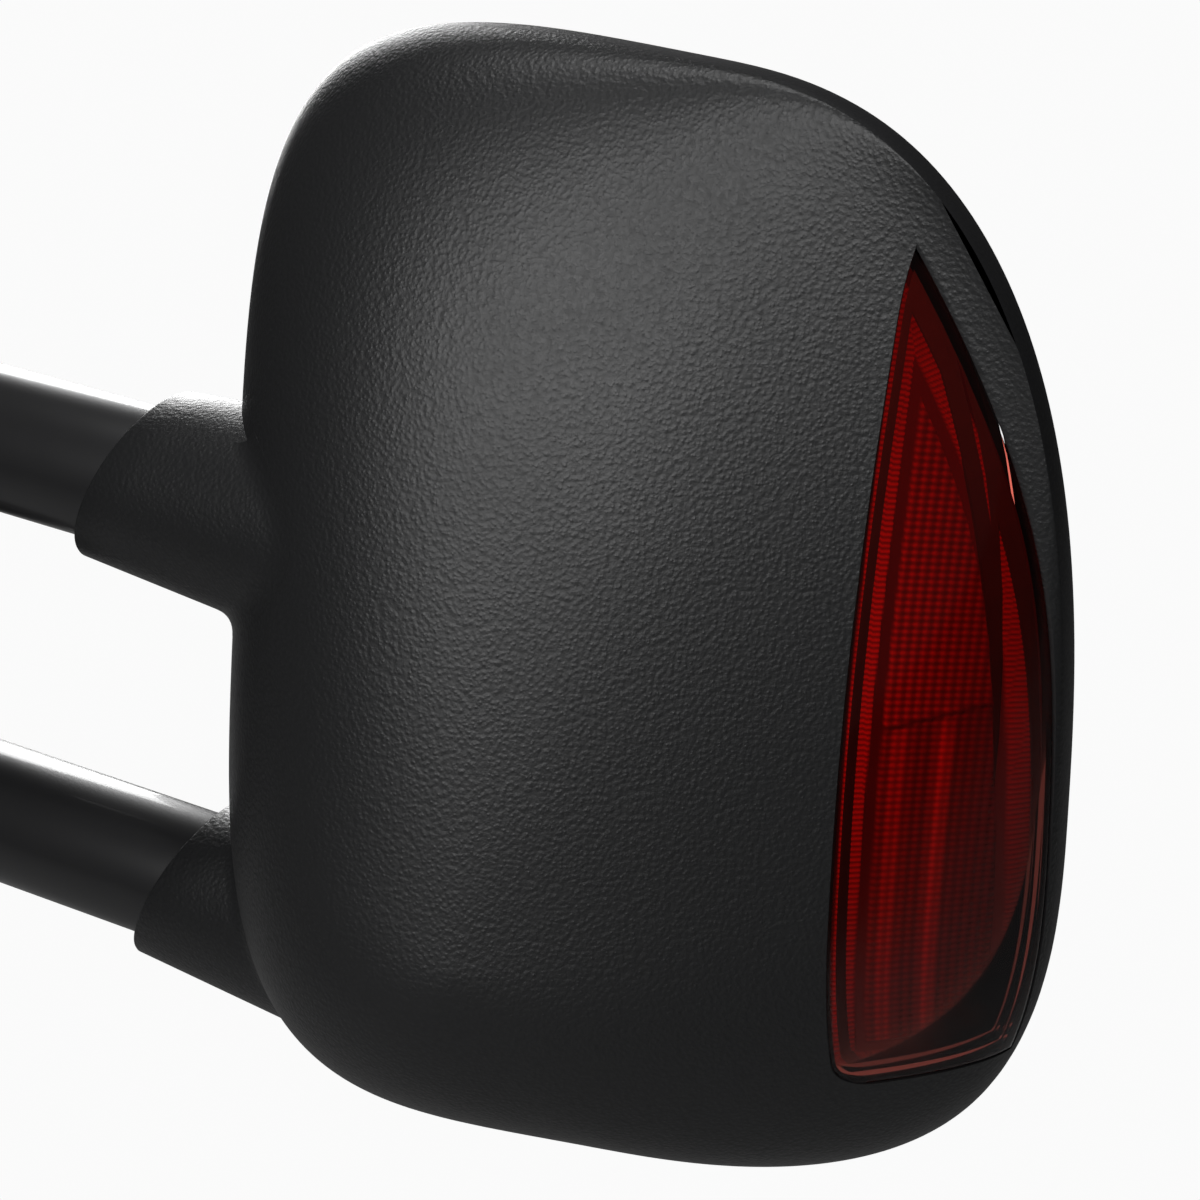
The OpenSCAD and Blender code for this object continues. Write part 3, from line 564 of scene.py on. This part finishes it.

# Painted light and shade on the optic. Its colour is painted brightest round mid height and near
# the lens's inboard edge, and darker in the lower pane. Painted glows stand where the bulbs would
# shine. Flute and pillow relief is painted lighter and darker, and the divider and fold line are
# painted darker. None of this comes from the lamps.
painted_light_by_height = np.exp(-(((z - 40) / 105) ** 2))
painted_light_by_side = np.clip(1.15 - from_left / 52, 0.12, 1)
above_divider = z - divider_z - divider_slope * (base[..., 0] - divider_x)
lower_pane = np.clip(above_divider / -2, 0, 1)
painted_bulb_glow = band(from_left, 27, 31, 2.0) * band(z, -48, 44, 12)
painted_bulb_glow += 0.7 * band(from_left, 15, 19, 3) * lower_pane
optic_painted_light = flutes * (0.16 + 0.55 * (1 - wave)) * painted_light_by_height * np.clip(1.3 - from_left / 60, 0.1, 1)
optic_painted_light += frame_band * 0.05
optic_painted_light += pane * (0.08 + 0.62 * pillow**2) * painted_light_by_height * painted_light_by_side * (1 - 0.35 * lower_pane)
optic_painted_light += pane * painted_bulb_glow * (0.15 + 0.35 * pillow**2)
optic_painted_light = np.clip(optic_painted_light * (1 - 0.75 * divider) * (1 - 0.5 * fold_line), 0, 1)

# The optic's base colour and its faint emission both follow this painted light and shade, so the
# optic also carries a painted glow.
red_optic = Finish(
    "red_optic", Roughness=0.16, Coat_Weight=0.5, Coat_Roughness=0.05, Emission_Strength=0.10
)
painted_light_input = red_optic.node("ShaderNodeAttribute", {"attribute_name": "optic_painted_light"}, {}, "Fac")
grit = red_optic.noise(0.0008, 2.0)
red = red_optic.between(painted_light_input * (0.85 + 0.3 * grit), (0.040, 0.002, 0.001), (1.0, 0.035, 0.010))
red_optic.feed("Base Color", red)
red_optic.feed("Emission Color", red)
smooth(optic, 60)
flat_front = optic_front.reshape(-1, 3)
search = KDTree(len(flat_front))
for k, point in enumerate(flat_front):
    search.insert(point * mm, k)
search.balance()
# Each point of the optic keeps its level of painted light and shade in this attribute.
levels = optic.data.attributes.new("optic_painted_light", "FLOAT", "POINT")
flat_painted_light = optic_painted_light.reshape(-1)
for vertex in optic.data.vertices:
    levels.data[vertex.index].value = flat_painted_light[search.find(vertex.co)[1]]
paint(optic, red_optic.material)
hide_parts("lens_optic")
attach(optic, "head")

# ---- Arm cuffs ----
# Each arm enters the head through a tapered cuff with a slanted end. Its front half is moulded
# with the front cover and blends into it with a fillet; its rear half is a cap with a fine seam.
arm_z = (65.0, -65.0)
cuff_mid_x = (224.5, 236.5)
cuff_end_r, cuff_root_r, cuff_length, cuff_wall = 25.7, 31.5, 78.0, 2.4
cuff_slant = math.tan(math.radians(24))
seam_cut_y, cap_gap = -14.0, 0.35
cuff_taper = (cuff_root_r - cuff_end_r) / cuff_length


def cuff_radius(i, x):
    return cuff_end_r + cuff_taper * (x - cuff_mid_x[i] + 14)


def depth_outside(x, y, z):
    """Negative behind the front skin, zero on it and positive in front of it."""
    swept = 1 - sweep_back * (x - nose_x) + lean_back * (z - nose_z)
    forward = np.clip((seam_y - y) / (head_depth * swept), 0, 0.999)
    cx, cz, ex, ez, n = outline_frame(z >= nose_z, x >= nose_x, forward, 0)
    for _ in range(2):
        cx, cz, ex, ez, n = outline_frame(z >= cz, x >= cx, forward, 0)
    return np.abs((x - cx) / (ex - cx)) ** n + np.abs((z - cz) / (ez - cz)) ** n - 1


def skin_normal(points):
    """Outward direction of the front skin at points on it."""
    step = 0.05
    slope = [
        depth_outside(*(points + step * axis).T) - depth_outside(*(points - step * axis).T)
        for axis in np.eye(3)
    ]
    normal = np.stack(slope, -1)
    return normal / np.linalg.norm(normal, axis=-1, keepdims=True)


def onto_skin(points, normal, reach=4.0):
    """Moves points along normal until they lie on the front skin."""
    low, high = np.full(len(points), -reach), np.full(len(points), reach)
    for _ in range(30):
        middle = (low + high) / 2
        outside = depth_outside(*(points + middle[:, None] * normal).T) > 0
        high = np.where(outside, middle, high)
        low = np.where(outside, low, middle)
    return points + high[:, None] * normal


def reach_of_head(i, turn, grow):
    """X at which a line along cuff i, grown in radius, first meets the front skin."""
    low = np.full(turn.shape, 205.0)
    high = np.full(turn.shape, 330.0)
    for _ in range(40):
        middle = (low + high) / 2
        radius = cuff_radius(i, middle) + grow
        within = depth_outside(middle, radius * np.cos(turn), arm_z[i] + radius * np.sin(turn)) < 0
        high = np.where(within, middle, high)
        low = np.where(within, low, middle)
    return high


def turn_range(radius, front, steps):
    """Angles of one half of the cuff at a radius, which end exactly on the seam plane."""
    edge = np.arccos((seam_cut_y + (0 if front else cap_gap)) / radius)
    part = np.linspace(0, 1, steps)
    return edge + part * (2 * math.pi - 2 * edge) if front else -edge + part * 2 * edge


def cuff_half(name, i, front):
    """Half of a cuff: a tapered wall with a rounded lip at its slanted end."""
    steps, lip = 72, 0.9
    rows = []
    for depth, drop in [
        (40, -cuff_wall), (lip, -cuff_wall), (0.25, -cuff_wall + 0.4), (0, -cuff_wall + lip),
        (0, -lip), (0.25, -0.3), (lip, 0), (14, 0), (30, 0), (None, 0), (None, -cuff_wall),
    ]:
        radius = cuff_radius(i, cuff_mid_x[i]) + drop
        turn = turn_range(radius, front, steps)
        for _ in range(6):
            start = cuff_mid_x[i] + radius * np.sin(turn) * cuff_slant
            x = start + depth if depth is not None else reach_of_head(i, turn, 0) + 1.5
            radius = cuff_radius(i, x) + drop
        turn = turn_range(radius[0], front, steps)
        rows.append(np.stack([x, radius * np.cos(turn), arm_z[i] + radius * np.sin(turn)], -1))
    points = np.vstack(rows)
    count = len(rows)
    faces = grid_faces(count, steps)
    last = (count - 1) * steps
    faces += [(k, k + 1, last + k + 1, last + k) for k in range(steps - 1)]
    faces += [tuple(side + j * steps for j in range(count)) for side in (0, steps - 1)]
    return new_piece(name, points * mm, faces)


def cuff_fillet(name, i, size):
    """Concave strip that blends the front half of cuff i into the front skin."""
    steps, across = 96, 9
    turn = turn_range(cuff_root_r, True, steps)
    meet = reach_of_head(i, turn, 0)

    def on_cuff(x, grow):
        radius = cuff_radius(i, x) + grow
        return np.stack([x, radius * np.cos(turn), arm_z[i] + radius * np.sin(turn)], -1)

    corner = on_cuff(meet, 0)
    round_out_of_cuff = np.stack([0 * turn, np.cos(turn), np.sin(turn)], -1)
    normal = skin_normal(corner)
    along = np.cross(normal, round_out_of_cuff)
    away = np.cross(along, normal)
    away /= np.linalg.norm(away, axis=-1, keepdims=True) + 1e-9
    sharpness = np.linalg.norm(along, axis=-1)[:, None]
    start = on_cuff(meet - size, 0.03)
    end = onto_skin(corner + size * away, normal) + 0.03 * normal
    start = corner + (start - corner) * np.clip(sharpness * 1.6, 0.25, 1)
    rows = [
        (1 - s) ** 2 * start + 2 * s * (1 - s) * corner + s**2 * end
        for s in np.linspace(0, 1, across)
    ]
    sunk, sunk_corner = 0.8, 1.2
    under = [
        end - sunk * normal,
        corner - sunk_corner * (normal + round_out_of_cuff),
        start - sunk * round_out_of_cuff,
    ]
    count = across + len(under)
    last = (count - 1) * steps
    faces = grid_faces(count, steps)
    faces += [(k, k + 1, last + k + 1, last + k) for k in range(steps - 1)]
    faces += [tuple(side + j * steps for j in range(count)) for side in (0, steps - 1)]
    return new_piece(name, np.vstack(rows + under) * mm, faces)


for i, level_name in enumerate(("upper", "lower")):
    for front in (True, False):
        part = cuff_half(f"{level_name}_cuff_{'front' if front else 'cap'}", i, front)
        smooth(part, 40)
        paint(part, black_shell)
        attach(part, "head")
        if not front:
            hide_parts(f"cuff_cap_{level_name}")
    fillet = cuff_fillet(f"{level_name}_cuff_fillet", i, 6.0)
    smooth(fillet, 40)
    paint(fillet, black_shell)
    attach(fillet, "head")

# ---- Arm tubes ----
# Two steel tubes with a smooth satin black coat. Each has its end turned and eased.
tube_black = smooth_plastic("satin_black_tube", (0.017, 0.017, 0.018), 0.34, coat=0.25)


def arm_tube(name, node):
    low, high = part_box(node)
    outer = (high[2] - low[2]) / 2
    wall = 0.0025
    middle = [(a + b) / 2 for a, b in zip(low, high)]
    bpy.ops.object.select_all(action="DESELECT")
    bpy.ops.mesh.primitive_cylinder_add(
        vertices=96, radius=outer, depth=high[0] - low[0],
        location=middle, rotation=(0, math.pi / 2, 0),
    )
    tube = bpy.context.object
    tube.name = name
    bpy.ops.object.transform_apply(location=True, rotation=True, scale=True)
    bpy.ops.object.mode_set(mode="EDIT")
    bpy.ops.mesh.select_mode(type="FACE")
    bpy.ops.mesh.select_all(action="DESELECT")
    work = bmesh.from_edit_mesh(tube.data)
    for face in work.faces:
        face.select = abs(face.normal.x) > 0.9
    bmesh.update_edit_mesh(tube.data)
    bpy.ops.mesh.inset(thickness=wall)
    bpy.ops.mesh.bridge_edge_loops()
    bpy.ops.object.mode_set(mode="OBJECT")
    apply_modifier(
        tube, "BEVEL", width=0.0005, segments=2, limit_method="ANGLE", angle_limit=math.radians(50)
    )
    smooth(tube, 40)
    paint(tube, tube_black)
    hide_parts(node)
    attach(tube, "arms")


arm_tube("upper_tube", "upper_arm_tube")
arm_tube("lower_tube", "lower_arm_tube")

# ---- Rear housing ----
# The second half of the head: a rounded edge, a flat lip round the two glasses, and the bar
# between them, moulded in one piece.
lip_y = rim_high[1]
rear_depth = lip_y - seam_y
rear_round = 15.0
lip_inset = rear_round + 1
bar_low, bar_high = -14.0, -2.0
below_head, above_head = -160, 260


def rear_rings(around, rings, inset):
    """Points of the rear edge in rings from the seam to the flat lip."""
    turn = (np.arange(rings + 1) * math.pi / 2 / rings)[:, None]
    angle = (np.arange(around) * 2 * math.pi / around)[None, :]
    x, z = head_outline(angle, 0.0, inset + rear_round * (1 - np.cos(turn)))
    y = seam_y + (rear_depth - inset) * np.sin(turn) + 0 * x
    return np.stack([x, y, z], -1).reshape(-1, 3)


def rear_solid(name, around, rings, inset, back=None, front=0.0):
    """Closed body inside the rear edge, cut flat at back."""
    points = rear_rings(around, rings, inset)
    points[:around, 1] -= front
    if back is not None:
        points[:, 1] = np.minimum(points[:, 1], back)
    faces = grid_faces(rings + 1, around, closed=True)
    faces += [tuple(range(around)), tuple(range(rings * around, (rings + 1) * around))]
    return new_piece(name, points * mm, faces)


def window(name, inset, low, high, y0, y1):
    """Prism of the glass opening, cut level at heights low and high."""
    count = 360
    across, up = head_outline(np.arange(count) * 2 * math.pi / count, 0.0, inset)
    points = [(x * mm, y * mm, z * mm) for y in (y0, y1) for x, z in zip(across, up)]
    faces = [tuple(range(count)), tuple(range(2 * count - 1, count - 1, -1))]
    faces += [(i, (i + 1) % count, count + (i + 1) % count, count + i) for i in range(count)]
    piece = new_piece(name, points, faces)
    bpy.ops.object.mode_set(mode="EDIT")
    for height, clear_above in ((low, False), (high, True)):
        bpy.ops.mesh.select_all(action="SELECT")
        bpy.ops.mesh.bisect(
            plane_co=(0, 0, height * mm), plane_no=(0, 0, 1), use_fill=True,
            clear_inner=not clear_above, clear_outer=clear_above,
        )
    bpy.ops.object.mode_set(mode="OBJECT")
    return piece


def round_corners(piece, width):
    """Rounds the upright edges of a window prism where it was cut level."""
    select_only(piece)
    bpy.ops.object.mode_set(mode="EDIT")
    bpy.ops.mesh.select_mode(type="EDGE")
    bpy.ops.mesh.select_all(action="DESELECT")
    work = bmesh.from_edit_mesh(piece.data)
    for edge in work.edges:
        lengthwise = abs(edge.verts[0].co.y - edge.verts[1].co.y) > 0.004
        if lengthwise and len(edge.link_faces) == 2:
            edge.select = edge.calc_face_angle(0) > math.radians(25)
    bmesh.update_edit_mesh(piece.data)
    bpy.ops.mesh.bevel(offset=width, segments=6, affect="EDGES")
    bpy.ops.object.mode_set(mode="OBJECT")


housing_black = pebbled_plastic("housing_black", (0.011, 0.011, 0.012), 0.0010, 0.00009, 0.38)
housing = rear_solid("rear_housing_shell", 240, 14, 0)
cut_away(housing, rear_solid("housing_hollow", 240, 14, 2.6, back=lip_y - 12, front=0.5))
for low, high in ((bar_high, above_head), (below_head, bar_low)):
    opening = window("opening", lip_inset, low, high, lip_y - 30, lip_y + 5)
    round_corners(opening, 0.011)
    cut_away(housing, opening)
apply_modifier(
    housing, "BEVEL", width=0.0007, segments=3, limit_method="ANGLE", angle_limit=math.radians(55)
)
smooth(housing, 35)
paint(housing, housing_black)
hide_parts("rear_housing")
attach(housing, "head")

# ---- Mirror glasses ----
# Silvered glass with ground edges: a flat one above, and a convex one below the bar. Each
# lies in its plastic holder.
silvered = Finish("silvered_glass", Metallic=1.0, Coat_Weight=0.6, Coat_Roughness=0.02)
haze = silvered.noise(0.05, 3.0)
silvered.feed("Base Color", silvered.between(haze, (0.80, 0.83, 0.86), (0.86, 0.88, 0.90)))
silvered.feed("Roughness", 0.015 + 0.03 * haze)


def merged_copy(node, name):
    """A copy of a frame node's mesh with its loose triangles joined into flat faces."""
    piece = frame["nodes"][node].copy()
    piece.data = frame["nodes"][node].data.copy()
    piece.name = name
    for tag in [key for key in piece.keys() if key.startswith("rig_")]:
        del piece[tag]
    bpy.context.scene.collection.objects.link(piece)
    piece.parent = None
    select_only(piece)
    bpy.ops.object.mode_set(mode="EDIT")
    bpy.ops.mesh.select_all(action="SELECT")
    bpy.ops.mesh.remove_doubles(threshold=1e-6)
    bpy.ops.mesh.dissolve_limited(angle_limit=math.radians(2))
    bpy.ops.object.mode_set(mode="OBJECT")
    return piece


def mirror_glass(name, node, body, dome):
    """Plate with a ground edge; dome is how far its middle bulges from its rim."""
    plate = merged_copy(node, name)
    back_y, face_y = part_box(node)[0][1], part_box(node)[1][1]
    face = max(plate.data.polygons, key=lambda f: f.center.y * 10 + f.area)
    ring = np.array([plate.data.vertices[v].co[:] for v in face.vertices])[:, [0, 2]]
    bpy.data.objects.remove(plate, do_unlink=True)
    middle = (ring.max(0) + ring.min(0)) / 2
    count = len(ring)
    ground = 0.0006
    points = [(x, back_y, z) for x, z in ring]
    points += [(x, face_y - dome - ground, z) for x, z in ring]
    inner = [1 - ground / 0.05, *np.linspace(0.95, 0.05, 14)]
    for scale in inner:
        height = face_y - dome * scale**2
        points += [(x, height, z) for x, z in middle + (ring - middle) * scale]
    rows = 2 + len(inner)
    faces = grid_faces(rows, count, closed=True)
    faces += [tuple(range(count)), tuple(range((rows - 1) * count, rows * count))]
    glass = new_piece(name, points, faces)
    smooth(glass, 25)
    paint(glass, silvered.material)
    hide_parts(node)
    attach(glass, body)


mirror_glass("main_mirror_glass", "upper_glass", "upper_mirror", 0.0)
mirror_glass("convex_mirror_glass", "spotter_glass", "lower_mirror", 0.0014)

# ---- Pieces of the frame ----
# Castings, covers, screws, bushes and inner mouldings keep the shape they have in the frame,
# and take their finish from their material in the record.
slot_finish = {
    "textured_black": black_shell,
    "housing_black": housing_black,
    "satin_black_tube": tube_black,
    "cast_black": pebbled_plastic("cast_black", (0.02, 0.02, 0.021), 0.0022, 0.00022, 0.5),
    "zinc_steel": satin_metal("zinc_steel", (0.55, 0.55, 0.52), 0.26),
    "spring_steel": satin_metal("spring_steel", (0.42, 0.43, 0.45), 0.22, streak=0.002),
    "bronze": satin_metal("bronze", (0.50, 0.31, 0.13), 0.34),
    "soft_rubber": smooth_plastic("soft_rubber", (0.008, 0.008, 0.008), 0.72),
    "natural_nylon": smooth_plastic("natural_nylon", (0.62, 0.58, 0.49), 0.42),
    "dark_nylon": smooth_plastic("dark_nylon", (0.025, 0.026, 0.028), 0.48),
    "chrome_reflector": satin_metal("chrome_reflector", (0.86, 0.86, 0.87), 0.05, streak=0.01),
    "circuit_board": smooth_plastic("circuit_board", (0.02, 0.13, 0.05), 0.4, coat=0.4),
    "amber_led": smooth_plastic("amber_led", (0.75, 0.42, 0.05), 0.2, coat=0.8),
    "bulb_glass": smooth_plastic("bulb_glass", (0.8, 0.8, 0.78), 0.1, coat=1.0),
    "motor_can": satin_metal("motor_can", (0.50, 0.51, 0.52), 0.3),
    "mirror_glass": silvered.material,
    "heater_foil": smooth_plastic("heater_foil", (0.45, 0.22, 0.06), 0.35, coat=0.3),
}
node_slot = {part["node"]: part["material_slot"] for part in frame["record"]["subparts"]}
for node, piece in frame["nodes"].items():
    if node_slot[node] in slot_finish:
        paint(piece, slot_finish[node_slot[node]])
